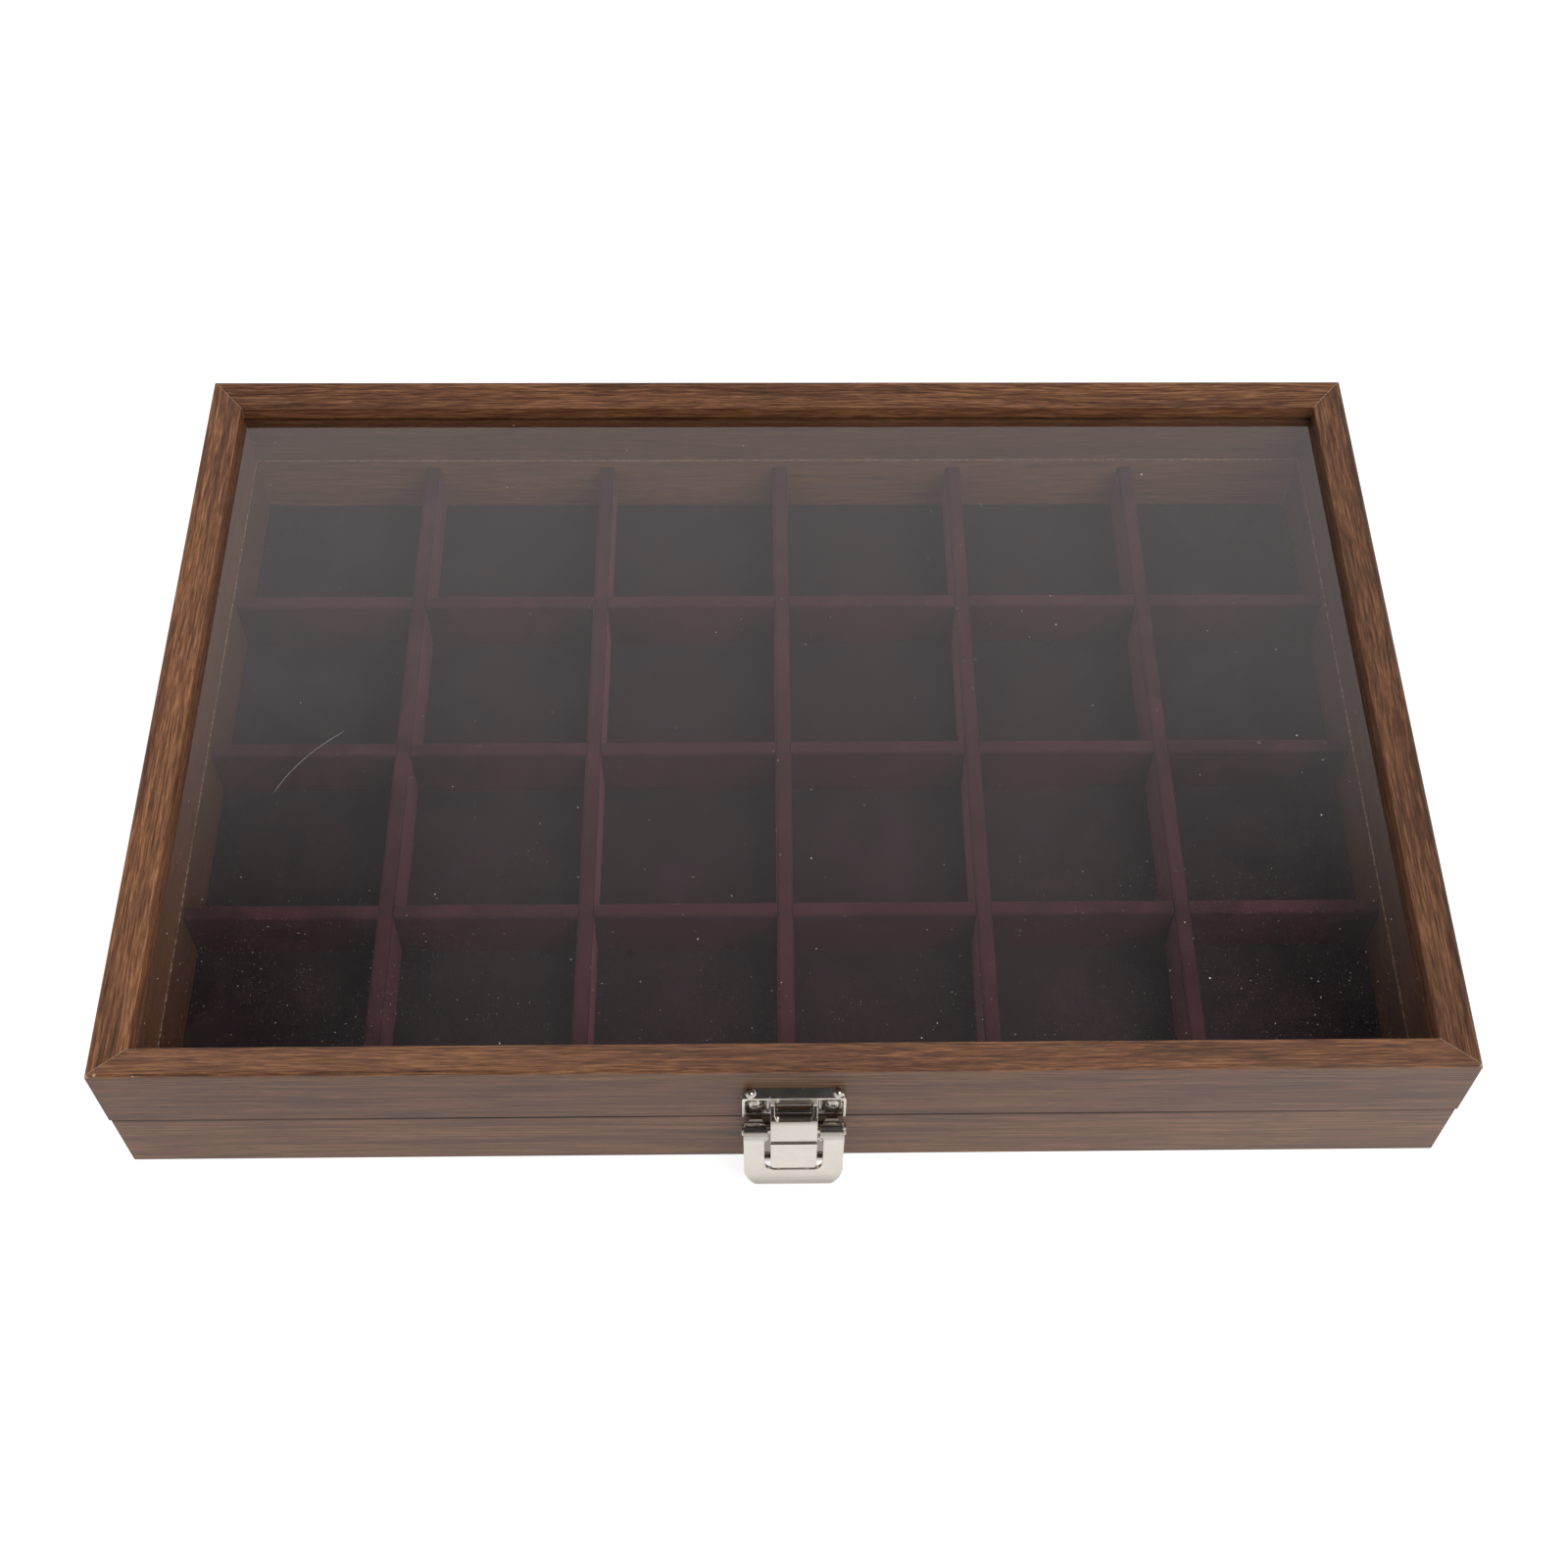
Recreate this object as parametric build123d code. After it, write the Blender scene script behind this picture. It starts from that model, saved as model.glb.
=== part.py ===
from build123d import *
from math import cos, hypot, radians, sin
import os

# Mineral specimen box: a shallow case with a glazed, hinged lid, a velvet-lined tray of
# twenty-four cells and a toggle latch. Sizes in millimetres, angles in degrees.
# The origin is the middle of the underside, X runs to the right, Y to the back and Z up.

# Case
width = 350.0
depth = 236.0
height = 51.5
board = 9.0
lid_overhang = 0.3
seam_z = 25.4
seam_gap = 0.2
arris = 0.5

# Lid
bevel_drop = 2.7
top_edge_radius = 0.9
pane_thickness = 2.0
pane_top_z = 44.75
pane_groove_depth = 4.2
pane_play = 0.1
pane_edge_gap = 0.4

# Tray
panel_thickness = 3.0
panel_rebate = 4.5
panel_play = 0.15
pad_thickness = 1.1
lining_play = 0.2
cells_x = 6
cells_y = 4
divider_thickness = 4.4
divider_top_z = 22.5
divider_round = 1.1
lap_play = 0.05

# Butt hinges, let into the meeting edges of the two back rails
hinge_spacing = 220.0
hinge_length = 25.0
leaf_thickness = 0.9
leaf_depth = 8.0
knuckle_radius = 1.7
middle_knuckle = 9.4
knuckle_gap = 0.15
hinge_pin_radius = 0.8
running_clearance = 0.05
knuckle_clearance = 0.3
hinge_screw_spacing = 14.0
hinge_screw_inset = 4.3
hinge_screw_head_radius = 1.7
hinge_screw_shank_radius = 0.9
hinge_screw_length = 8.0
hinge_screw_tip = 1.5
hinge_screw_slot = (0.4, 2.2, 0.7)

# Toggle latch. Its side views are drawn as (out, up): out is the distance from the front
# face of the lid, up is Z.
latch_x = 1.5
latch_width = 26.5
sheet = 0.7
lever_sheet = 0.9
rivet_radius = 1.0
rivet_head_radius = 1.45
rivet_head = 0.4

keeper_bottom = 28.4
keeper_top = 41.8
keeper_flange = 2.5
keeper_fall = 1.0
keeper_corner = 2.2
keeper_heel = (1.3, 3.6)
keeper_screw_spacing = 20.0
keeper_screw_z = 34.6
hook_width = 8.8
hook_slot_width = 9.6
hook_slot_bottom = 30.4
hook_slot_corner = 0.8
hook_tip = (2.5, 36.85)
hook_bend = 0.6
rib_spacing = 13.4
rib_width = 0.7
rib_height = 0.5
rib_end = 1.5
corner_bulge_radius = 1.3
corner_bulge = (1.15, 40.95)
corner_bulge_inset = 2.1

bracket_width = 23.6
bracket_bottom = 3.8
bracket_top = 20.4
bracket_sheet = 0.8
bracket_wall = 2.9
bracket_corner = 1.5
ear_thickness = 0.8
ear_radius = 1.9
ear_neck = (2.7, 4.9)
ear_neck_z = (21.4, 22.7)
ear_shoulder_z = 18.5
bracket_screw_spacing = 17.0
bracket_screw_z = 13.0

lever_pivot = (3.8, 25.1)
lever_width = 26.0
lever_roll_radius = 2.95
roll_end_angle = 145
roll_cut_from = 5.2
roll_cut_to = 1.9
roll_cut_inset = 1.7
roll_cut_rise = 1.5
lever_bend = (7.0, 12.0)
lever_lip = (9.8, 4.4)
lever_corner = 4.6
throat_width = 13.4
throat_bottom = 26.4
cutout_width = 15.3
cutout_bottom = 8.85
cutout_top_corner = 0.7
cutout_corner = 2.4
cheek_thickness = 0.9
cheek_edge = 0.95
cheek_swell = 0.25

tongue_pivot = (5.5, 11.575)
tongue_width = 12.0
tongue_sheet = 0.85
tongue_line = [(1.75, 39.4), (1.75, 36.1), (5.85, 33.6), (7.15, 22.5)]
tongue_bend_radius = 1.2
tab_line = [(7.38, 24.6), (8.05, 10.1), (5.5, 10.1)]
tab_bend_radius = 1.4
tab_corner = 3.4
window_width = 9.9
window_bottom = 34.1
window_top = 37.3
window_corner = 1.2

# Pan-head screws of the latch
screw_head_radius = 1.95
screw_head_height = 1.1
screw_shank_radius = 1.1
screw_length = 7.5
screw_tip = 2.0
screw_head_side = 0.5
cross_length = 2.3
cross_width = 0.55
cross_depth = 0.7
cross_turn = 35

# Sizes that follow from those above
base_width = width - 2 * lid_overhang
base_depth = depth - 2 * lid_overhang
base_top = seam_z - seam_gap / 2
lid_bottom = seam_z + seam_gap / 2
inner_width = base_width - 2 * board
inner_depth = base_depth - 2 * board
pad_top = panel_thickness + pad_thickness
divider_height = divider_top_z - pad_top
pitch_x = inner_width / cells_x
pitch_y = inner_depth / cells_y
hinge_y = depth / 2 + knuckle_radius + knuckle_clearance
bevel_slope = bevel_drop / board
bevel_corner_z = height + top_edge_radius * (bevel_slope + hypot(1, bevel_slope) - 1)


def mitred_rail(profile, length, offset, turn):
    """One side of a frame. The profile is a face in (Y, Z) with its outer side at Y = -offset;
    the ends are cut at 45 degrees and the rail is turned about Z to its side of the box."""
    bar = extrude(Plane.YZ * profile, amount=length / 2, both=True)
    half = length / 2
    inner_half = half - board
    inner_y = board - offset
    plan = Polyline(
        (-half, -offset), (half, -offset), (inner_half, inner_y), (-inner_half, inner_y), close=True
    )
    return Rot(0, 0, turn) * (bar & extrude(make_face(plan), amount=bevel_corner_z))


def base_profile(offset):
    """Tray rail with a rebate for the bottom panel and an eased outer top edge."""
    outline = Polyline(
        (-offset, 0),
        (panel_rebate - offset, 0),
        (panel_rebate - offset, panel_thickness),
        (board - offset, panel_thickness),
        (board - offset, base_top),
        (-offset, base_top),
        close=True,
    )
    face = make_face(outline)
    return fillet(face.vertices().filter_by_position(Axis.X, -offset - 0.1, -offset + 0.1), arris)


def lid_profile(offset):
    """Lid rail: a top face that falls towards the pane, a groove for the pane and eased edges."""
    groove_low = pane_top_z - pane_thickness - pane_play
    groove_high = pane_top_z + pane_play
    outline = Polyline(
        (-offset, lid_bottom),
        (board - offset, lid_bottom),
        (board - offset, groove_low),
        (board - offset - pane_groove_depth, groove_low),
        (board - offset - pane_groove_depth, groove_high),
        (board - offset, groove_high),
        (board - offset, bevel_corner_z - bevel_drop),
        (-offset, bevel_corner_z),
        close=True,
    )
    face = make_face(outline)
    outer = face.vertices().filter_by_position(Axis.X, -offset - 0.1, -offset + 0.1)
    face = fillet(outer.sort_by(Axis.Y)[-1], top_edge_radius)
    outer = face.vertices().filter_by_position(Axis.X, -offset - 0.1, -offset + 0.1)
    face = fillet(outer.sort_by(Axis.Y)[0], arris)
    inner_top = face.vertices().filter_by_position(Axis.X, board - offset - 0.1, board - offset + 0.1)
    return fillet(inner_top.sort_by(Axis.Y)[-1], arris / 2)


def frame_rails(prefix, profile, outer_width, outer_depth):
    """The four mitred rails of one frame, by name."""
    return {
        prefix + "_front_rail": mitred_rail(profile(outer_depth / 2), outer_width, outer_depth / 2, 0),
        prefix + "_right_rail": mitred_rail(profile(outer_width / 2), outer_depth, outer_width / 2, 90),
        prefix + "_back_rail": mitred_rail(profile(outer_depth / 2), outer_width, outer_depth / 2, 180),
        prefix + "_left_rail": mitred_rail(profile(outer_width / 2), outer_depth, outer_width / 2, 270),
    }


def slab(size_x, size_y, low, high):
    """A flat sheet centred on the box, from height low to height high."""
    return Pos(0, 0, (low + high) / 2) * Box(size_x, size_y, high - low)


def divider(length, slot_places, slots_from_top):
    """A velvet-covered strip along X with rounded top edges and half-height slots, so that
    the two sets of dividers lap over each other and finish flush."""
    section = Rectangle(divider_thickness, divider_height)
    top = section.vertices().group_by(Axis.Y)[-1]
    section = Pos(0, pad_top + divider_height / 2) * fillet(top, divider_round)
    strip = extrude(Plane.YZ * section, amount=length / 2, both=True)
    slot_height = divider_height / 2 + lap_play
    shift = divider_height - slot_height / 2 if slots_from_top else slot_height / 2
    for place in slot_places:
        strip -= Pos(place, 0, pad_top + shift) * Box(
            divider_thickness + 2 * lap_play, divider_thickness + 1, slot_height
        )
    return strip


def grid_places(count, pitch):
    """Where the dividers stand between count cells."""
    return [(i - count / 2) * pitch for i in range(1, count)]


def countersunk_screw():
    """A flat-head wood screw along -Z, with the top of its head at the origin."""
    half_section = Polyline(
        (0, 0),
        (hinge_screw_head_radius - running_clearance, 0),
        (hinge_screw_shank_radius, running_clearance - leaf_thickness),
        (hinge_screw_shank_radius, hinge_screw_tip - hinge_screw_length),
        (0, -hinge_screw_length),
        close=True,
    )
    screw = revolve(Plane.XZ * make_face(half_section), Axis.Z)
    return screw - Box(*hinge_screw_slot)


def countersunk_hole():
    """The room that a flat-head screw needs in a leaf and in the board under it."""
    half_section = Polyline(
        (0, 0.2),
        (hinge_screw_head_radius, 0.2),
        (hinge_screw_head_radius, 0),
        (hinge_screw_shank_radius + running_clearance, -leaf_thickness),
        (hinge_screw_shank_radius + running_clearance, -hinge_screw_length - 0.3),
        (0, -hinge_screw_length - 0.3),
        close=True,
    )
    return revolve(Plane.XZ * make_face(half_section), Axis.Z)


def hinge_screw_places(centre):
    """The two screws of a leaf, as (X, Y)."""
    y = depth / 2 - hinge_screw_inset
    return [(centre - hinge_screw_spacing / 2, y), (centre + hinge_screw_spacing / 2, y)]


def knuckle_spans(middle):
    """The stretches of the hinge's length that carry this leaf's knuckles."""
    edge = middle_knuckle / 2
    if middle:
        return [(-edge, edge)]
    end = hinge_length / 2
    return [(-end, -edge - knuckle_gap), (edge + knuckle_gap, end)]


def hinge_leaf(centre, low, middle):
    """A leaf with its knuckles, its plate from height low up by the leaf's thickness."""
    plate_length = leaf_depth - lid_overhang
    plate_y = depth / 2 - lid_overhang - plate_length / 2
    leaf = Pos(centre, plate_y, low + leaf_thickness / 2) * Box(hinge_length, plate_length, leaf_thickness)
    front = depth / 2 - lid_overhang
    for start, end in knuckle_spans(middle):
        x = centre + (start + end) / 2
        arm_y = (front + hinge_y) / 2
        leaf += Pos(x, arm_y, low + leaf_thickness / 2) * Box(end - start, hinge_y - front, leaf_thickness)
        leaf += Pos(x, hinge_y, seam_z) * Rot(0, 90, 0) * Cylinder(knuckle_radius, end - start)
    bore = Cylinder(hinge_pin_radius + running_clearance, hinge_length + 2)
    leaf -= Pos(centre, hinge_y, seam_z) * Rot(0, 90, 0) * bore
    flip = 0 if low < seam_z else 180
    seat = base_top if low < seam_z else lid_bottom
    for x, y in hinge_screw_places(centre):
        leaf -= Pos(x, y, seat) * Rot(flip, 0, 0) * countersunk_hole()
    return leaf


def hinge_mortise(centre, low):
    """The shallow recess in a rail's edge that a leaf lies in."""
    cut_depth = leaf_depth + 1
    y = depth / 2 - leaf_depth + cut_depth / 2
    return Pos(centre, y, low + leaf_thickness / 2) * Box(hinge_length + 0.2, cut_depth, leaf_thickness)


def side_view(face, thickness, x=0.0):
    """Turn a face drawn as (out, up) into a plate across the latch, centred at x."""
    plate = extrude(face, amount=thickness / 2, both=True)
    place = Plane((latch_x + x, -depth / 2, 0), x_dir=(0, -1, 0), z_dir=(-1, 0, 0))
    return place * plate


def front_view(face, near, far):
    """Turn a face drawn as (across, up) into a block from distance near to distance far out."""
    plane = Plane((latch_x, -depth / 2 - near, 0), x_dir=(1, 0, 0), z_dir=(0, -1, 0))
    return plane * extrude(face, amount=far - near)


def rounded_plate(plate_width, low, high, top_corner, bottom_corner):
    """A rectangle from height low to high with its own corner radii at top and bottom."""
    face = Pos(0, (low + high) / 2) * Rectangle(plate_width, high - low)
    if top_corner:
        face = fillet(face.vertices().group_by(Axis.Y)[-1], top_corner)
    if bottom_corner:
        face = fillet(face.vertices().group_by(Axis.Y)[0], bottom_corner)
    return face


def across_latch(radius, length, place, x=0.0):
    """A round bar across the latch at (out, up)."""
    return side_view(Pos(*place) * Circle(radius), length, x)


def rivet(place, grip):
    """A headed pin across the latch; grip is the distance between its two heads."""
    pin = across_latch(rivet_radius, grip + 2 * rivet_head, place)
    for side in (-1, 1):
        pin += across_latch(rivet_head_radius, rivet_head, place, side * (grip + rivet_head) / 2)
    return pin


def pan_screw():
    """A pan-head screw along -Z with a cross recess; the origin is under its head."""
    dome = screw_head_height
    half_section = make_face(
        Polyline(
            (0, dome),
            (cross_length / 2, dome),
            (screw_head_radius, screw_head_side),
            (screw_head_radius, 0),
            (screw_shank_radius, 0),
            (screw_shank_radius, screw_tip - screw_length),
            (0, -screw_length),
            close=True,
        )
    )
    screw = revolve(Plane.XZ * half_section, Axis.Z)
    for turn in (cross_turn, cross_turn + 90):
        screw -= Pos(0, 0, dome) * Rot(0, 0, turn) * Box(cross_length, cross_width, 2 * cross_depth)
    return screw


def front_screws(spacing, up, out):
    """Two pan-head screws driven into the front of the box, seated at distance out."""
    pair = []
    for side in (-1, 1):
        x = latch_x + side * spacing / 2
        place = Plane((x, -depth / 2 - out, up), x_dir=(1, 0, 0), z_dir=(0, -1, 0))
        pair.append(place * pan_screw())
    return pair


def front_screw_holes(spacing, up):
    """Clearance for the shanks of those screws."""
    holes = []
    for side in (-1, 1):
        x = latch_x + side * spacing / 2
        place = Plane((x, -depth / 2, up), x_dir=(1, 0, 0), z_dir=(0, -1, 0))
        holes.append(place * Cylinder(screw_shank_radius + running_clearance, 2 * screw_length))
    return holes


def latch_keeper():
    """Pressed plate on the lid: a tray with a standing rim at the sides and a rim at the top
    that falls forward and bulges at both corners, two stiffening ribs and, in the middle, a
    tab cut on three sides and bent out as the hook."""
    beyond = keeper_flange + 1
    tray = rounded_plate(latch_width, keeper_bottom, keeper_top, keeper_corner, 0)
    keeper = front_view(tray, 0, keeper_flange)
    well_top = keeper_top - keeper_fall - sheet
    well_width = latch_width - 2 * sheet
    well = rounded_plate(well_width, keeper_bottom - 1, well_top, keeper_corner - sheet, 0)
    keeper -= front_view(well, sheet, beyond)
    slope = keeper_fall / keeper_flange
    above = Polyline(
        (0, keeper_top),
        (beyond, keeper_top - slope * beyond),
        (beyond, keeper_top + 1),
        (0, keeper_top + 1),
        close=True,
    )
    keeper -= side_view(make_face(above), latch_width + 1)
    heel_out, heel_up = keeper_heel
    below = keeper_bottom - 1
    heel = Polyline((heel_out, below), (beyond, below), (beyond, keeper_bottom + heel_up), close=True)
    keeper -= side_view(make_face(heel), latch_width + 1)
    hook_up = hook_tip[1]
    slot = rounded_plate(hook_slot_width, hook_slot_bottom, hook_up + hook_bend, 0, hook_slot_corner)
    keeper -= front_view(slot, -1, sheet + 1)
    middle = sheet / 2
    hook_line = [(middle, hook_up + 2 * hook_bend), (middle, hook_up), hook_tip]
    hook = trace(FilletPolyline(*hook_line, radius=hook_bend), line_width=sheet)
    keeper += side_view(hook, hook_width)
    rib_length = keeper_top - keeper_bottom - 2 * rib_end
    rib_middle = (keeper_bottom + keeper_top) / 2
    for side in (-1, 1):
        rib = Pos(side * rib_spacing / 2, rib_middle) * Rectangle(rib_width, rib_length)
        keeper += front_view(rib, sheet / 2, sheet + rib_height)
        out, up = corner_bulge
        x = latch_x + side * (latch_width / 2 - corner_bulge_inset)
        keeper += Pos(x, -depth / 2 - out, up) * Sphere(corner_bulge_radius)
    keeper -= Pos(latch_x, -depth / 2 + latch_width / 2, keeper_top) * Box(*[latch_width] * 3)
    for hole in front_screw_holes(keeper_screw_spacing, keeper_screw_z):
        keeper -= hole
    return keeper


def latch_bracket():
    """Pressed plate on the tray's front, with a standing wall at each side that rises through
    a neck to an ear inside the lever's roll."""
    back = -lid_overhang
    plate = rounded_plate(bracket_width, bracket_bottom, bracket_top, 0, bracket_corner)
    bracket = front_view(plate, back, back + bracket_sheet)
    out, up = lever_pivot
    foot = bracket_bottom + bracket_corner
    neck_back, neck_front = ear_neck
    neck_low, neck_high = ear_neck_z
    wall = Polyline(
        (back, foot),
        (bracket_wall - 1, foot),
        (bracket_wall, foot + 1),
        (bracket_wall, ear_shoulder_z),
        (neck_front, neck_low),
        (out + ear_radius * cos(radians(-20)), up + ear_radius * sin(radians(-20))),
        (out, up),
        (out + ear_radius * cos(radians(215)), up + ear_radius * sin(radians(215))),
        (neck_back, neck_high),
        (neck_back, neck_low),
        (back, bracket_top),
        close=True,
    )
    outline = make_face(wall) + Pos(out, up) * Circle(ear_radius)
    for side in (-1, 1):
        bracket += side_view(outline, ear_thickness, side * (bracket_width - ear_thickness) / 2)
    bracket -= across_latch(rivet_radius + running_clearance, bracket_width + 2, lever_pivot)
    for hole in front_screw_holes(bracket_screw_spacing, bracket_screw_z):
        bracket -= hole
    return bracket


def on_roll(angle):
    """The point of the lever's rolled end at an angle from straight out, as (out, up)."""
    out, up = lever_pivot
    return (out + lever_roll_radius * cos(radians(angle)), up + lever_roll_radius * sin(radians(angle)))


def lever_cheek():
    """The flange at each side of the lever that carries its pivot and the tongue's pin."""
    out, up = lever_pivot
    pin_out, pin_up = tongue_pivot
    eye = rivet_radius + cheek_edge
    outline = Polyline(
        (out - eye, up),
        (out, up + eye),
        on_roll(60),
        on_roll(0),
        lever_bend,
        (lever_bend[0] + cheek_swell, pin_up),
        (pin_out, pin_up - eye),
        (pin_out - eye, pin_up),
        close=True,
    )
    return make_face(outline) + Pos(out, up) * Circle(eye) + Pos(pin_out, pin_up) * Circle(eye)


def roll_cut(edge, inward):
    """What is cut off the roll at one side of an arm: behind a slant that runs back and
    inward from the edge."""
    inner = edge + inward * roll_cut_inset
    beyond = edge - inward
    near = -1
    plan = Polyline(
        (edge, -roll_cut_from),
        (inner, -roll_cut_to),
        (inner, -near),
        (beyond, -near),
        (beyond, -roll_cut_from),
        close=True,
    )
    block = extrude(make_face(plan), amount=2 * lever_roll_radius, dir=(0, 0, 1))
    return Pos(latch_x, -depth / 2, lever_pivot[1] + roll_cut_rise) * block


def latch_lever():
    """Pressed lever: its sheet rolls over the pivot, runs down the front and flares to a
    finger lip. Two arms leave a throat and a cut-out for the tongue, the roll is cut off
    slantwise at both sides of each arm, and flanges folded back along the outer edges
    carry both pins."""
    roll = ThreePointArc(on_roll(roll_end_angle), on_roll(roll_end_angle / 2), on_roll(0))
    face_line = Line(on_roll(0), lever_bend)
    flare = TangentArc(lever_bend, lever_lip, tangent=face_line % 1)
    skin = side_view(trace(roll + face_line + flare, line_width=lever_sheet), lever_width)

    top = lever_pivot[1] + lever_roll_radius + 1
    near, far = -1, lever_lip[0] + 3
    outline = rounded_plate(lever_width, lever_lip[1], top, 0, lever_corner)
    lever = skin & front_view(outline, near, far)
    lever -= front_view(rounded_plate(throat_width, throat_bottom - 2, top, 0, 0), near, far)
    cutout = rounded_plate(cutout_width, cutout_bottom, throat_bottom, cutout_top_corner, cutout_corner)
    lever -= front_view(cutout, near, far)
    for side in (-1, 1):
        lever += side_view(lever_cheek(), cheek_thickness, side * (lever_width - cheek_thickness) / 2)
        lever -= roll_cut(side * lever_width / 2, -side)
        lever -= roll_cut(side * throat_width / 2, side)
    for place in (lever_pivot, tongue_pivot):
        lever -= across_latch(rivet_radius + running_clearance, lever_width + 4, place)
    return lever


def latch_tongue():
    """Sprung strip that comes out flat over the hook with a window for it, bends down, and
    carries a doubled tab whose foot curls back round the lower pin of the lever."""
    half_sheet = tongue_sheet / 2
    strip = trace(FilletPolyline(*tongue_line, radius=tongue_bend_radius), line_width=tongue_sheet)
    tab = trace(FilletPolyline(*tab_line, radius=tab_bend_radius), line_width=tongue_sheet)
    eye_radius = tongue_pivot[1] - tab_line[-1][1] + half_sheet
    tab += Pos(*tongue_pivot) * Circle(eye_radius)
    tab -= Pos(*tongue_pivot) * Circle(rivet_radius + running_clearance)
    foot = tab_line[-1][1] - half_sheet
    head = tongue_line[0][1] + 1
    outline = rounded_plate(tongue_width, foot, head, 0, tab_corner)
    tongue = side_view(strip, tongue_width)
    tongue += side_view(tab, tongue_width) & front_view(outline, 0, lever_lip[0])
    window = rounded_plate(window_width, window_bottom, window_top, 0, window_corner)
    return tongue - front_view(window, 0, lever_lip[0])


# Case frames and panels
parts = frame_rails("base", base_profile, base_width, base_depth)
parts.update(frame_rails("lid", lid_profile, width, depth))
panel_width = base_width - 2 * (panel_rebate + panel_play)
panel_depth = base_depth - 2 * (panel_rebate + panel_play)
parts["base_bottom_panel"] = slab(panel_width, panel_depth, 0, panel_thickness)
pad_width = inner_width - 2 * lining_play
pad_depth = inner_depth - 2 * lining_play
parts["floor_pad"] = slab(pad_width, pad_depth, panel_thickness, pad_top)
pane_inset = board - pane_groove_depth + pane_edge_gap
parts["glass_pane"] = slab(
    width - 2 * pane_inset, depth - 2 * pane_inset, pane_top_z - pane_thickness, pane_top_z
)

# Dividers: the long ones are slotted from the top, the short ones from below
long_places = grid_places(cells_y, pitch_y)
short_places = grid_places(cells_x, pitch_x)
for number, y in enumerate(long_places, 1):
    strip = divider(pad_width, short_places, True)
    parts[f"divider_long_{number}"] = Pos(0, y, 0) * strip
for number, x in enumerate(short_places, 1):
    strip = divider(pad_depth, [-y for y in long_places], False)
    parts[f"divider_short_{number}"] = Pos(x, 0, 0) * Rot(0, 0, 90) * strip

# Hinges with their mortises, screws and pins
base_leaf_low = base_top - leaf_thickness
base_screws = []
lid_screws = []
for side, centre in (("left", -hinge_spacing / 2), ("right", hinge_spacing / 2)):
    parts[f"hinge_{side}_base_leaf"] = hinge_leaf(centre, base_leaf_low, False)
    parts[f"hinge_{side}_lid_leaf"] = hinge_leaf(centre, lid_bottom, True)
    pin = Cylinder(hinge_pin_radius, hinge_length)
    parts[f"hinge_{side}_pin"] = Pos(centre, hinge_y, seam_z) * Rot(0, 90, 0) * pin
    parts["base_back_rail"] -= hinge_mortise(centre, base_leaf_low)
    parts["lid_back_rail"] -= hinge_mortise(centre, lid_bottom)
    for x, y in hinge_screw_places(centre):
        down = Pos(x, y, base_top)
        up = Pos(x, y, lid_bottom) * Rot(180, 0, 0)
        parts["base_back_rail"] -= down * countersunk_hole()
        parts["lid_back_rail"] -= up * countersunk_hole()
        base_screws.append(down * countersunk_screw())
        lid_screws.append(up * countersunk_screw())
parts["hinge_base_screws"] = Compound(children=base_screws)
parts["hinge_lid_screws"] = Compound(children=lid_screws)

# Latch
parts["latch_keeper"] = latch_keeper()
parts["latch_bracket"] = latch_bracket()
parts["latch_lever"] = latch_lever()
parts["latch_tongue"] = latch_tongue()
parts["latch_pivot_pin"] = rivet(lever_pivot, lever_width + 2 * running_clearance)
parts["tongue_pin"] = across_latch(rivet_radius, lever_width, tongue_pivot)
parts["latch_keeper_screws"] = Compound(children=front_screws(keeper_screw_spacing, keeper_screw_z, sheet))
parts["latch_bracket_screws"] = Compound(
    children=front_screws(bracket_screw_spacing, bracket_screw_z, bracket_sheet - lid_overhang)
)
for hole in front_screw_holes(keeper_screw_spacing, keeper_screw_z):
    parts["lid_front_rail"] -= hole
for hole in front_screw_holes(bracket_screw_spacing, bracket_screw_z):
    parts["base_front_rail"] -= hole

os.makedirs("parts", exist_ok=True)
for name, shape in parts.items():
    export_step(shape, os.path.join("parts", name + ".step"))
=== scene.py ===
"""A glass-topped mineral specimen box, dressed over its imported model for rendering.

Everything is in metres in the model's own frame: X across the front, Y towards the
hinges, Z up from the table.
"""

import math

import bpy
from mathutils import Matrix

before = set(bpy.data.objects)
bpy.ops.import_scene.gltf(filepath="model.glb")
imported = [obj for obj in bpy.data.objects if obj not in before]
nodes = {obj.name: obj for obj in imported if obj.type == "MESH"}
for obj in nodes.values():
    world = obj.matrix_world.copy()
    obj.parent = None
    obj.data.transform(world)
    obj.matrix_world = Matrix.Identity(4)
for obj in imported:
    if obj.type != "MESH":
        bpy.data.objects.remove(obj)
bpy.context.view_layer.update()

MM = 0.001

# Places on the box that the finishes refer to. Two rails meet where |x| - MITRE_X is
# |y| - MITRE_Y. The dark line of the parting, a painted shadow of the gap, lies just under the lid's lower edge.
LID_HALF_WIDTH, LID_HALF_DEPTH = 175.0 * MM, 118.0 * MM
MITRE_X, MITRE_Y = 175.3 * MM, 118.3 * MM
TOP_Z = 51.5 * MM
PANE_TOP_Z = 44.75 * MM
SEAM_Z = 25.4 * MM
GAP_SHADOW_Z = 25.0 * MM

# Inks of the walnut foil from dark to light, as seen on the rails' tops and on their
# outer walls, and the tones of the grain at which they lie. The walls' inks are greyer:
# the foil's print with a painted reflection of the white surroundings in it.
WALNUT_TOP = (
    (0.052, 0.0165, 0.0060),
    (0.095, 0.0340, 0.0125),
    (0.137, 0.0525, 0.0195),
    (0.225, 0.0960, 0.0375),
)
WALNUT_WALL_WITH_PAINTED_HAZE = (
    (0.040, 0.0175, 0.0085),
    (0.085, 0.0355, 0.0160),
    (0.126, 0.0550, 0.0255),
    (0.190, 0.0900, 0.0450),
)
INK_TONES = (0.385, 0.455, 0.520, 0.605)
LINING_INK = (0.115, 0.052, 0.029)
BARE_BOARD = ((0.300, 0.200, 0.125), (0.560, 0.450, 0.330))
PARTING_PAINTED_SHADOW = (0.0100, 0.0045, 0.0025)
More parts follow.
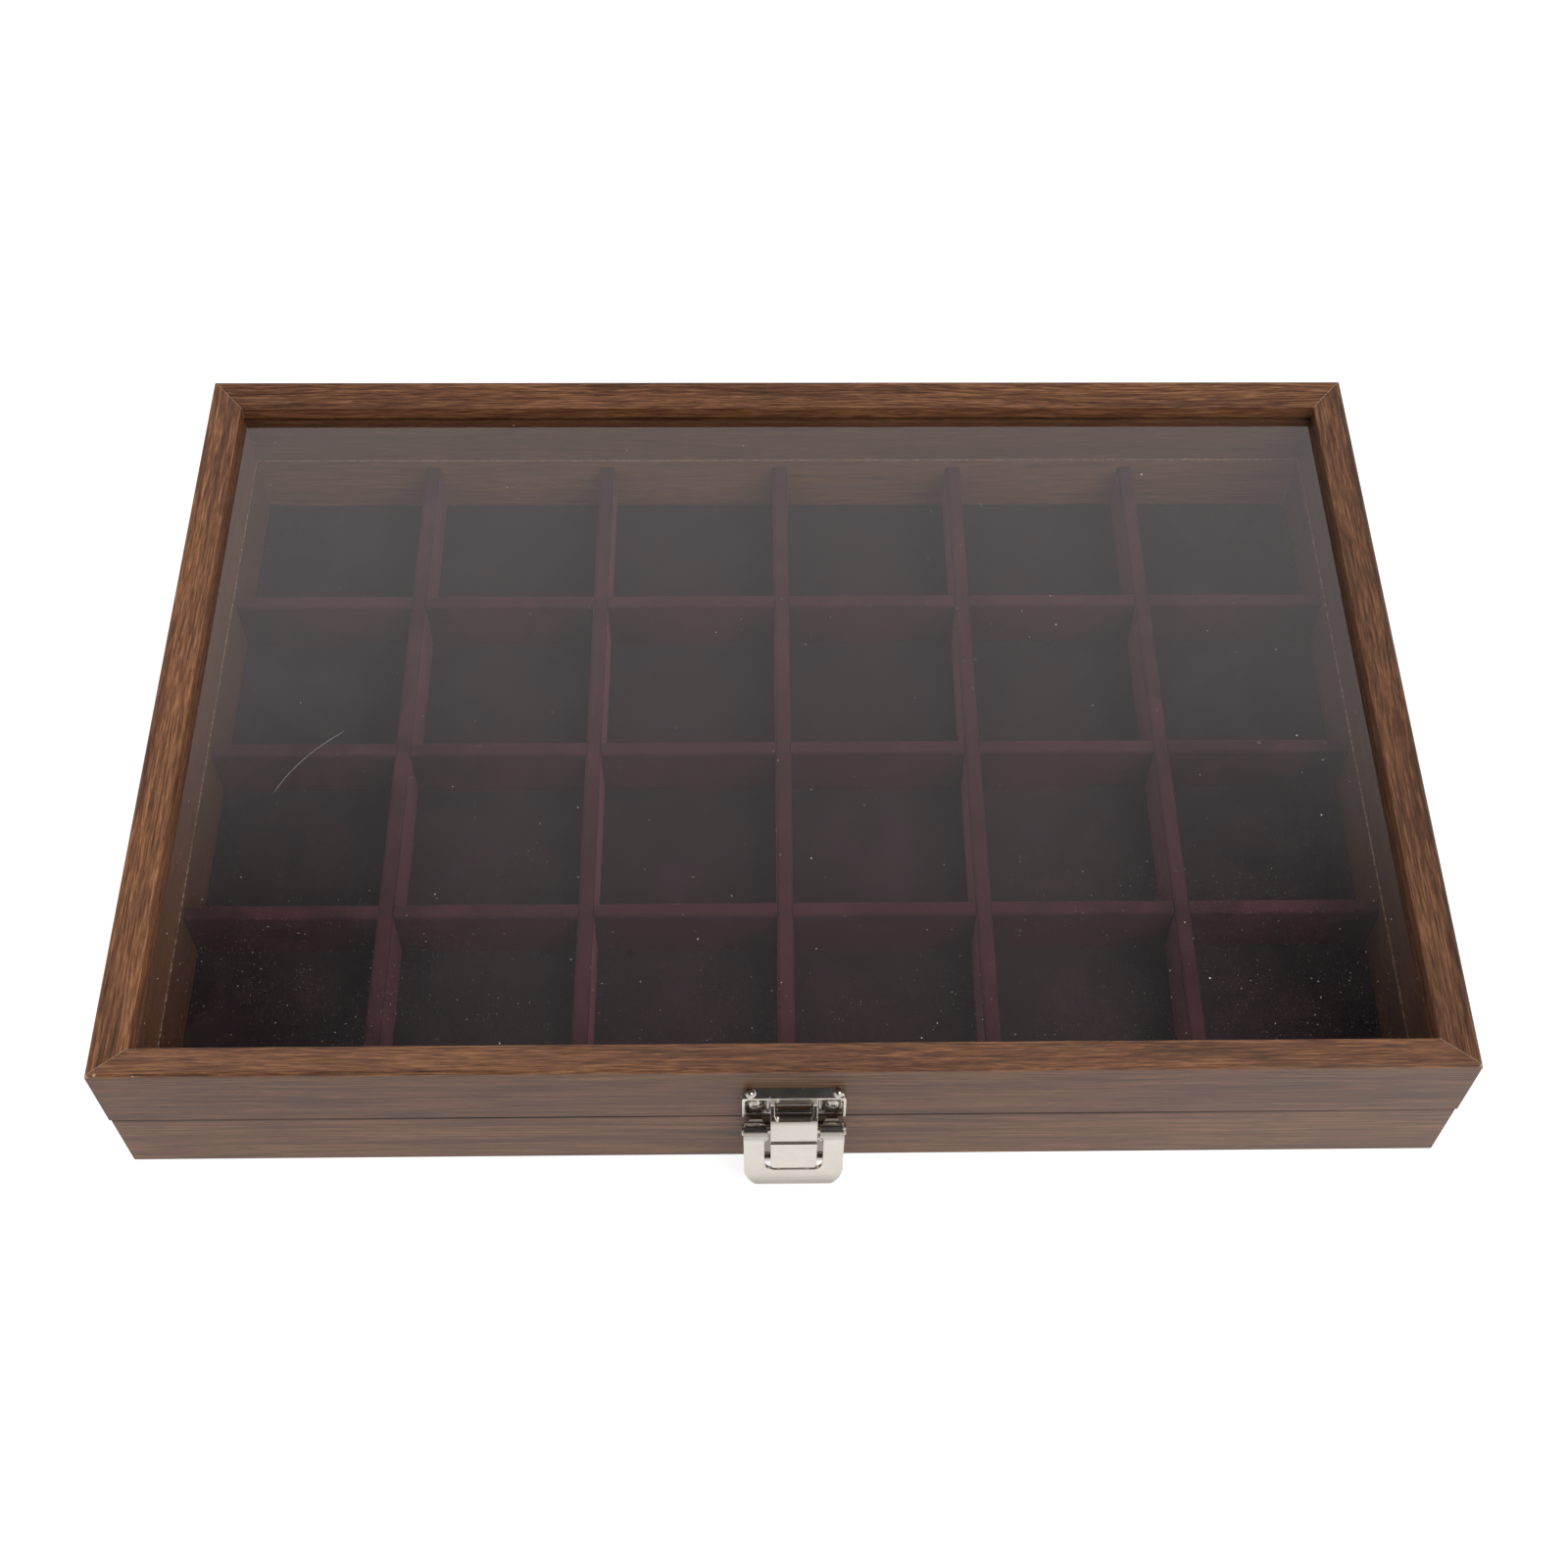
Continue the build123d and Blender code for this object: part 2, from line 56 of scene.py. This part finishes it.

# Boards whose foil is made lighter or darker than the rest. This is painted light and shade: it
# stands for how the softbox on the right lights each board and for the shade on the tray's inner
# walls under the lid.
PAINTED_LIGHT_BY_BOARD = {
    "lid_left_rail": 1.25,
    "lid_right_rail": 0.87,
    "lid_front_rail": 1.04,
    "base_front_rail": 1.22,
    "base_left_rail": 0.80,
    "base_right_rail": 0.75,
    "base_back_rail": 1.30,
}

# Velvet of the dividers and of the floor pad: where its pile lies away and where it
# shows, and the weight of its sheen. The floor has one pressed mark.
DIVIDER_VELVET = ((0.027, 0.0078, 0.0100), (0.053, 0.0165, 0.0208), 0.36)
FLOOR_VELVET = ((0.015, 0.0078, 0.0092), (0.027, 0.0142, 0.0168), 0.20)
FLOOR_MARK = (-43.8 * MM, -58.0 * MM)

# The scratch on the pane is a stretch of a circle: its centre and radius, and the middle
# of the stretch
SCRATCH_CENTRE = (-95.89 * MM, -49.48 * MM)
SCRATCH_RADIUS = 48.38 * MM
SCRATCH_MIDDLE = (-132.8 * MM, -18.2 * MM)


def place_camera():
    """The camera that took the picture, found from the box's own corners and edges."""
    camera = bpy.data.objects.new("camera", bpy.data.cameras.new("camera"))
    bpy.context.scene.collection.objects.link(camera)
    camera.location = (-0.00658, -0.35556, 0.54217)
    camera.rotation_euler = [math.radians(turn) for turn in (34.1357, -0.8991, -0.9335)]
    camera.data.sensor_width = 36
    camera.data.lens = 49.574
    camera.data.shift_x = -0.01569
    camera.data.shift_y = -0.01755
    camera.data.clip_start = 0.01
    bpy.context.scene.camera = camera


class Value:
    """A number or colour that varies over a surface. Arithmetic on it adds Math nodes."""

    def __init__(self, finish, socket):
        self.finish = finish
        self.socket = socket

    def math(self, operation, *others):
        return self.finish.node("Math", {"operation": operation}, dict(enumerate((self, *others))))

    def __add__(self, other):
        return self.math("ADD", other)

    def __sub__(self, other):
        return self.math("SUBTRACT", other)

    def __mul__(self, other):
        return self.math("MULTIPLY", other)

    def __truediv__(self, other):
        return self.math("DIVIDE", other)

    def __pow__(self, other):
        return self.math("POWER", other)

    def __abs__(self):
        return self.math("ABSOLUTE")

    __radd__ = __add__
    __rmul__ = __mul__

    def __rsub__(self, other):
        return (self * -1) + other

    def over(self, other):
        """The larger of two values."""
        return self.math("MAXIMUM", other)

    def under(self, other):
        """The smaller of two values."""
        return self.math("MINIMUM", other)

    def rise(self, low, high):
        """0 up to low, 1 from high on, and a smooth step between them. Falls if high < low."""
        first, last = (low, high) if low < high else (high, low)
        step = self.finish.node(
            "MapRange",
            {"interpolation_type": "SMOOTHSTEP"},
            {"Value": self, "From Min": first, "From Max": last},
        )
        return step if low < high else 1 - step


class Finish:
    """The nodes of one material, or of the world."""

    def __init__(self, owner):
        owner.use_nodes = True
        self.owner = owner
        self.tree = owner.node_tree
        self.tree.nodes.clear()

    def node(self, kind, settings=None, sockets=None, out=0):
        """Adds a node: its settings first, a ramp's stops among them, then its sockets."""
        made = self.tree.nodes.new("ShaderNode" + kind)
        for name, value in (settings or {}).items():
            if name == "stops":
                stops = made.color_ramp.elements
                for place, colour in value:
                    stops.new(place).color = (*colour, 1)
                stops.remove(stops[-1])
                stops.remove(stops[0])
            else:
                setattr(made, name, value)
        for name, value in (sockets or {}).items():
            if isinstance(value, Value):
                self.tree.links.new(value.socket, made.inputs[name])
            else:
                made.inputs[name].default_value = value
        if not made.outputs:
            return None
        if isinstance(out, tuple):
            return [Value(self, made.outputs[each]) for each in out]
        return Value(self, made.outputs[out])

    def place(self):
        """The surface point's X, Y and Z in metres."""
        point = self.node("TexCoord", out="Object")
        return self.node("SeparateXYZ", None, {0: point}, out=(0, 1, 2))

    def point(self, x, y, z=0.0):
        return self.node("CombineXYZ", None, {0: x, 1: y, 2: z})

    def noise(self, x, y, z, detail=2.0, roughness=0.5, distortion=0.0):
        """Smooth noise from 0 to 1, about one wave to each unit of x, y and z."""
        sockets = {
            "Vector": self.point(x, y, z),
            "Scale": 1.0,
            "Detail": detail,
            "Roughness": roughness,
            "Distortion": distortion,
        }
        return self.node("TexNoise", None, sockets)

    def lumps(self, place, waves, *shape):
        """Noise alike in every direction, with so many waves to the metre."""
        return self.noise(*(along * waves for along in place), *shape)

    def colour(self, factor, first, second):
        """Mixes two colours by a factor from 0 to 1."""
        pair = [c if isinstance(c, Value) else (*c, 1) for c in (first, second)]
        return self.node("Mix", {"data_type": "RGBA"}, {0: factor, 6: pair[0], 7: pair[1]}, out=2)

    def bump(self, height, distance, strength=1.0):
        sockets = {"Strength": strength, "Distance": distance, "Height": height}
        return self.node("Bump", None, sockets)

    def surface(self, sockets, shader="BsdfPrincipled", end="OutputMaterial"):
        """Ends the material or world in one shader."""
        shown = self.node(shader, None, sockets)
        self.node(end, None, {"Surface": shown})


def material(name):
    return Finish(bpy.data.materials.new(name))


def distance(x, y, centre):
    """How far a point is from a centre, seen from above."""
    return ((x - centre[0]) ** 2 + (y - centre[1]) ** 2) ** 0.5


def walnut_foil(name, along, seed, shade=1.0):
    """Walnut foil on a board. The grain is noise drawn out along the board: a broad tone,
    dark bands of 0.5 mm, fibres of 0.4 mm, short pores and a few long veins. The outer
    walls have longer streaks, and their greyer inks are the foil's print with a painted
    reflection of the white surroundings. The parting shows there as a dark line, a painted
    shadow of the gap. The shade makes all of a board's inks lighter or darker, as painted
    light and shade. The sawn face at the parting shows the bare board, and so do thin
    lines where the foil is mitred and small nicks along the outer edges."""
    foil = material(name)
    spot = x, y, z = foil.place()
    fallen = (abs(x) - LID_HALF_WIDTH).over(abs(y) - LID_HALF_DEPTH)
    outside = fallen.rise(-1.6 * MM, -0.9 * MM)
    wall = outside * z.rise(TOP_Z - 1.4 * MM, TOP_Z - 2.4 * MM)

    # Grain
    run, across = (x, y) if along == "x" else (y, x)
    sway = (foil.noise(run * 7 + seed, across * 22, z * 22, 2.0) - 0.5) * (4 * MM)
    side = across + sway
    level = z + sway
    drawn = run * (1 - wall * 0.72)
    broad = foil.noise(run * 12 + seed * 3.1, side * 170 + seed, level * 170, 3.0, 0.55)
    band = foil.noise(drawn * 75 + seed * 1.7, side * 1900, level * 1900 + seed, 3.0, 0.50)
    fibre = foil.noise(drawn * 170 + seed, side * 2600, level * 2600, 2.0, 0.6)
    pore = foil.noise(run * 150 - seed, side * 3000, level * 3000, 1.0, 0.5).rise(0.60, 0.69)
    vein = abs(foil.noise(run * 6 - seed, side * 300, level * 300 - seed, 1.0) - 0.5)
    vein = vein.rise(0.055, 0.012) * broad.rise(0.60, 0.44)
    tone = broad * 0.15 + band * 0.47 + fibre * 0.38

    # Print
    # A board's shade makes all its inks lighter or darker, as painted light and shade.
    looks = []
    for colours in WALNUT_TOP, WALNUT_WALL_WITH_PAINTED_HAZE:
        inks = [tuple(part * shade for part in colour) for colour in colours]
        looks.append(foil.node("ValToRGB", {"stops": list(zip(INK_TONES, inks))}, {0: tone}))
    # The outer walls' greyer inks lay a painted reflection of the white surroundings over the
    # foil's print.
    printed = foil.colour(wall, *looks)
    deepest = [0.6 * shade * part for part in WALNUT_TOP[0]]
    printed = foil.colour((pore * 0.55).over(vein * 0.45), printed, deepest)
    inside = fallen.rise(-7.5 * MM, -8.5 * MM) * z.rise(44.0 * MM, 42.5 * MM)
    lining = [part * shade for part in LINING_INK]
    printed = foil.colour(inside * 0.55, printed, lining)

    # The dark line of the parting, a painted shadow of the gap: dark ink, mostly metallic so that
    # it takes almost no diffuse light, broken here and there and fainter towards the corners
    unbroken = foil.noise(x * 14, y * 14, 0.0, 2.0).rise(0.20, 0.45)
    middle = 1 - abs(x).rise(80 * MM, 140 * MM) * 0.45
    dark = abs(z - GAP_SHADOW_Z).rise(1.10 * MM, 0.55 * MM) * outside * unbroken * middle
    printed = foil.colour(dark * 0.9, printed, PARTING_PAINTED_SHADOW)

    # Bare board: at the mitres, on the top's outer edge, on the sawn face and in nicks
    crumbs = foil.lumps(spot, 900, 3.0, 0.7)
    from_mitre = abs((abs(x) - MITRE_X) - (abs(y) - MITRE_Y)) + crumbs * (0.30 * MM)
    mitre = from_mitre.rise(0.40 * MM, 0.18 * MM) * z.rise(44.0 * MM, 46.5 * MM)
    to_corner = abs(x) + abs(y)
    ragged = foil.lumps(spot, 640, 3.0, 0.7) + to_corner.rise(0.270, 0.291) * 0.10
    edge = (fallen + z - TOP_Z).rise(-1.2 * MM, -0.6 * MM)
    chips = ragged.rise(0.72, 0.77).over(to_corner.rise(0.2915, 0.2925)) * edge
    from_seam = abs(z - SEAM_Z)
    sawn = from_seam.rise(0.32 * MM, 0.16 * MM) * (1 - outside) * crumbs.rise(0.40, 0.62)
    nicks = foil.lumps(spot, 420, 3.0, 0.7).rise(0.72, 0.76)
    nicks = nicks * from_seam.rise(0.7 * MM, 0.3 * MM)
    shown = (mitre * 0.38).over(chips * 0.8).over(sawn * 0.34).over(nicks * 0.7)
    bare = foil.colour(crumbs.rise(0.35, 0.65), *BARE_BOARD)

    relief = fibre * 0.5 + band * 0.4 - pore * 0.6 - vein * 0.3
    foil.surface(
        {
            "Base Color": foil.colour(shown, printed, bare),
            # Metallic keeps diffuse light off the parting's painted shadow.
            "Metallic": dark * 0.9,
            "Roughness": 0.38 + band * 0.14 + fibre * 0.06 + shown * 0.35,
            "Specular IOR Level": 0.36,
            "Normal": foil.bump(relief, 0.06 * MM, 0.55),
        }
    )
    return foil.owner


def velvet(name, deep, raised, sheen, mark=None):
    """Short-pile velvet: the pile's lie changes in soft patches, each tuft is a speck of
    noise, and a sheen brightens it where it is seen edge on. It reddens towards the middle
    of the tray, and a small pressed mark may lie at one place."""
    cloth = material(name)
    spot = x, y, _ = cloth.place()
    patch = cloth.lumps(spot, 45, 3.0, 0.6, 0.6)
    tuft = cloth.lumps(spot, 2200, 2.0, 0.7)
    lie = (patch * 0.85 + tuft * 0.15).rise(0.34, 0.66)
    lint = cloth.lumps(spot, 520, 1.0, 0.4).rise(0.79, 0.83)
    redder = (raised[0], raised[1] * 0.6, raised[2] * 0.7)
    pile = cloth.colour(lie, deep, raised)
    pile = cloth.colour(abs(x).rise(140 * MM, 30 * MM) * 0.35, pile, redder)
    if mark:
        pressed = distance(x, y, mark).rise(1.4 * MM, 0.7 * MM)
        pile = cloth.colour(pressed * 0.8, pile, (0.004, 0.003, 0.003))
    cloth.surface(
        {
            "Base Color": cloth.colour(lint * 0.25, pile, (0.35, 0.30, 0.28)),
            "Roughness": 0.82 + tuft * 0.16,
            "Specular IOR Level": 0.12,
            "Sheen Weight": sheen,
            "Sheen Roughness": 0.32,
            "Sheen Tint": (0.72, 0.26, 0.30, 1),
            "Normal": cloth.bump(tuft * 0.35 + patch * 0.65, 0.2 * MM, 0.25),
        }
    )
    return cloth.owner


def nickel(name, colour, roughness, brush="x"):
    """Nickel plate: soft clouds in its polish, hairline scratches and a few dull spots. Its
    stamped edges are very slightly rounded."""
    plate = material(name)
    spot = x, y, z = plate.place()
    cloud = plate.lumps(spot, 190, 3.0, 0.6)
    along, up = (60, 5200) if brush == "x" else (5200, 60)
    hair = plate.noise(x * along, y * 5200, z * up, 2.0, 0.6)
    dull = plate.lumps(spot, 1400, 2.0, 0.6).rise(0.70, 0.78)
    base = plate.colour(cloud.rise(0.3, 0.75), [c * 0.93 for c in colour], colour)
    base = plate.colour(dull * 0.35, base, [c * 0.55 for c in colour])
    skin = plate.bump(hair * 0.5 + cloud * 0.5, 0.03 * MM, 0.35)
    plate.surface(
        {
            "Base Color": base,
            "Metallic": 1.0,
            "Roughness": roughness + cloud * 0.08 + hair * 0.05 + dull * 0.2,
            "Normal": plate.node("Bevel", {"samples": 6}, {"Radius": 0.3 * MM, "Normal": skin}),
        }
    )
    return plate.owner


def pane_glass(name):
    """Clear glass: each outer face reflects by its angle and lets the rest through. Dust
    specks, thickest at the front corners, a bent scratch and faint wipe marks lie on it."""
    glass = material(name)
    x, y, z = glass.place()
    top = z.rise(PANE_TOP_Z - 0.8 * MM, PANE_TOP_Z - 0.4 * MM)
    cluster = glass.noise(x * 55, y * 55, 7.0, 2.0, 0.6).rise(0.42, 0.62)
    towards_side = 0.45 + abs(x).rise(20 * MM, 140 * MM) * 0.55
    dusty = y.rise(20 * MM, -100 * MM) * towards_side * (0.35 + cluster * 0.65)

    def specks(pitch, size, share, shift):
        """A soft disc of random size and strength in a share of the cells of a jittered grid."""
        grid = glass.point(x * (1 / pitch) + shift, y * (1 / pitch) - shift)
        cells = {"voronoi_dimensions": "2D", "feature": "F1"}
        far, dice = glass.node("TexVoronoi", cells, {"Vector": grid, "Scale": 1.0}, out=(0, 1))
        chance, wide, strong = glass.node("SeparateColor", None, {0: dice}, out=(0, 1, 2))
        there = (chance - share).rise(0.01, -0.01)
        reach = (wide * 0.6 + 0.4) * (size / pitch)
        return (far / reach).rise(1.0, 0.4) * there * (0.15 + strong ** 2 * 0.85)

    haze = specks(1.1 * MM, 0.15 * MM, 0.06 + dusty * 0.65, 8.1) * 0.28
    fine = specks(2.6 * MM, 0.19 * MM, 0.08 + dusty * 0.45, 3.7) * 0.46
    grit = specks(9.0 * MM, 0.24 * MM, 0.18 + dusty * 0.15, 11.3) * 0.9
    fluff = specks(34.0 * MM, 0.40 * MM, 0.30, 5.9) * 0.9
    off_line = abs(distance(x, y, SCRATCH_CENTRE) - SCRATCH_RADIUS)
    stretch = distance(x, y, SCRATCH_MIDDLE).rise(16.5 * MM, 10.0 * MM)
    scratch = off_line.rise(0.18 * MM, 0.06 * MM) * stretch * 0.20
    dust = haze.over(fine).over(grit).over(fluff).over(scratch) * top

    smear = glass.noise(x * 24, y * 10, 3.0, 4.0, 0.65, 1.2).rise(0.54, 0.82)
    wipe = glass.noise(x * 40 + y * 160, y * 14, 1.0, 3.0, 0.7).rise(0.55, 0.85) * smear
    film = (smear * 0.012 + wipe * 0.014 + dusty * 0.004) * top

    mirror = glass.node("Fresnel", None, {"IOR": 1.5}) * 1.85
    facing = 1 - glass.node("NewGeometry", out="Backfacing")
    clean = mirror.under(1.0) * facing
    matt = dust.rise(0.02, 0.12)
    # The pane's colour, a faint pink, tints its reflections: a painted tint of the reflected
    # light.
    glass.surface(
        {
            "Base Color": glass.colour(matt, (0.97, 0.925, 0.935), (0.80, 0.79, 0.78)),
            "Metallic": 1 - matt,
            "Roughness": 0.02 + matt * 0.7 + smear * 0.03,
            "Alpha": clean.over(dust.over(film)),
        }
    )
    return glass.owner


def hardboard(name):
    """Brown hardboard under the tray: pressed fibres and a fine mesh on its face."""
    board = material(name)
    spot = x, y, _ = board.place()
    fibre = board.lumps(spot, 420, 5.0, 0.7, 1.5)
    cloud = board.lumps(spot, 24, 3.0, 0.6)
    mesh = (x * 4200).math("SINE") * (y * 4200).math("SINE")
    mottle = (fibre * 0.6 + cloud * 0.4).rise(0.3, 0.7)
    board.surface(
        {
            "Base Color": board.colour(mottle, (0.060, 0.034, 0.020), (0.125, 0.075, 0.045)),
            "Roughness": 0.62 + fibre * 0.2,
            "Normal": board.bump(mesh * 0.25 + fibre * 0.75, 0.1 * MM, 0.6),
        }
    )
    return board.owner


def dress(names, finish):
    """Puts a finish on model nodes, whose shapes stay as they are."""
    for name in names:
        mesh = nodes[name].data
        mesh.materials.clear()
        mesh.materials.append(finish)


def dress_rails():
    """Every board has its own piece of foil, with the grain along it."""
    for number, body in enumerate(("base", "lid")):
        for place, side in enumerate(("front", "back", "left", "right")):
            along = "x" if side in ("front", "back") else "y"
            rail = f"{body}_{side}_rail"
            seed = 3.7 * place + 17.3 * number
            # The board's shade is painted light and shade: lighter where the softbox lights it,
            # darker where it lies in shade.
            foil = walnut_foil(f"walnut_{body}_{side}", along, seed, PAINTED_LIGHT_BY_BOARD.get(rail, 1.0))
            dress([rail], foil)


def dress_box():
    dress_rails()
    dividers = [name for name in nodes if name.startswith("divider_")]
    latch = [name for name in nodes if name.startswith("latch_") or name == "tongue_pin"]
    hinges = [name for name in nodes if name.startswith("hinge_")]
    dress(dividers, velvet("velvet", *DIVIDER_VELVET))
    dress(["floor_pad"], velvet("velvet_floor", *FLOOR_VELVET, FLOOR_MARK))
    dress(["glass_pane"], pane_glass("glass"))
    dress(["base_bottom_panel"], hardboard("hardboard"))
    dress(latch, nickel("nickel", (0.625, 0.580, 0.520), 0.11))
    # The bracket behind the lever gets darker, rougher nickel: painted shade for the shadow it
    # sits in.
    dress(["latch_bracket"], nickel("shaded_bracket_nickel", (0.30, 0.265, 0.225), 0.24, "z"))
    dress(hinges, nickel("hinge_nickel", (0.66, 0.62, 0.56), 0.28))


def surroundings():
    """White to the camera, and even for the light that falls on the box. In reflections the
    walls behind fade overhead and towards the sides, and those in front are dimmer."""
    world = Finish(bpy.data.worlds.new("studio"))
    bpy.context.scene.world = world.owner
    way = world.node("TexCoord", out="Generated")
    across, back, up = world.node("SeparateXYZ", None, {0: way}, out=(0, 1, 2))
    seen = world.node("LightPath", out="Is Camera Ray")
    passed = world.node("LightPath", out="Is Transmission Ray")
    glossy = world.node("LightPath", out="Is Glossy Ray").over(passed)
    behind = back.rise(0.0, 0.35)
    aside = abs(across - 0.01).rise(0.10, 0.26) * up.rise(0.78, 0.87)
    walls_behind = up.rise(0.98, 0.70) * (1 - aside * 0.95) * 0.99
    walls_before = up.rise(0.74, 0.40) * 0.70
    walls = walls_behind * behind + walls_before * (1 - behind) + 0.008
    even = 0.92
    shade = walls * glossy + (1 - glossy) * even
    strength = seen.over(shade * (1 - seen))
    world.surface({"Color": (1, 1, 1, 1), "Strength": strength}, "Background", "OutputWorld")


def white_paper():
    """The floor's paper, whose own white hides all but the box's soft contact shadow. In
    reflections it is dimmer, most of all away from the box. It can be seen through from
    below, so that the underside shows."""
    paper = material("white_paper")
    passed = paper.node("LightPath", out="Is Transmission Ray")
    straight = paper.node("LightPath", out="Is Camera Ray").over(passed)
    mirrored = paper.node("LightPath", out="Is Glossy Ray")
    x, y, _ = paper.place()
    near_box = y.rise(-180 * MM, -135 * MM) * 0.35
    to_right = x.rise(20 * MM, 220 * MM) * 0.35
    own_white = (straight * 0.78).over(mirrored * (near_box + to_right + 0.43))
    paper.surface(
        {
            "Base Color": (0.42, 0.42, 0.42, 1),
            "Roughness": 0.9,
            "Specular IOR Level": 0.0,
            "Emission Color": paper.colour(own_white, (0, 0, 0), (1, 1, 1)),
            "Emission Strength": 1.0,
            "Alpha": 1 - paper.node("NewGeometry", out="Backfacing"),
        }
    )
    return paper.owner


def studio():
    """White surroundings and floor, and a softbox high on the right."""
    scene = bpy.context.scene
    scene.view_settings.view_transform = "Standard"
    surroundings()

    reach = 3.0
    corners = [(-reach, -reach, 0), (reach, -reach, 0), (reach, reach, 0), (-reach, reach, 0)]
    sheet = bpy.data.meshes.new("floor")
    sheet.from_pydata(corners, [], [(0, 1, 2, 3)])
    sheet.materials.append(white_paper())
    floor = bpy.data.objects.new("floor", sheet)
    scene.collection.objects.link(floor)
    floor.location.z = -0.1 * MM

    lamp = bpy.data.objects.new("softbox", bpy.data.lights.new("softbox", "AREA"))
    scene.collection.objects.link(lamp)
    lamp.data.shape = "RECTANGLE"
    lamp.data.size, lamp.data.size_y = 0.9, 0.7
    lamp.data.energy = 9
    lamp.location = (0.75, -0.55, 1.15)
    lamp.rotation_euler = (math.radians(28), math.radians(33), 0)


place_camera()
studio()
dress_box()
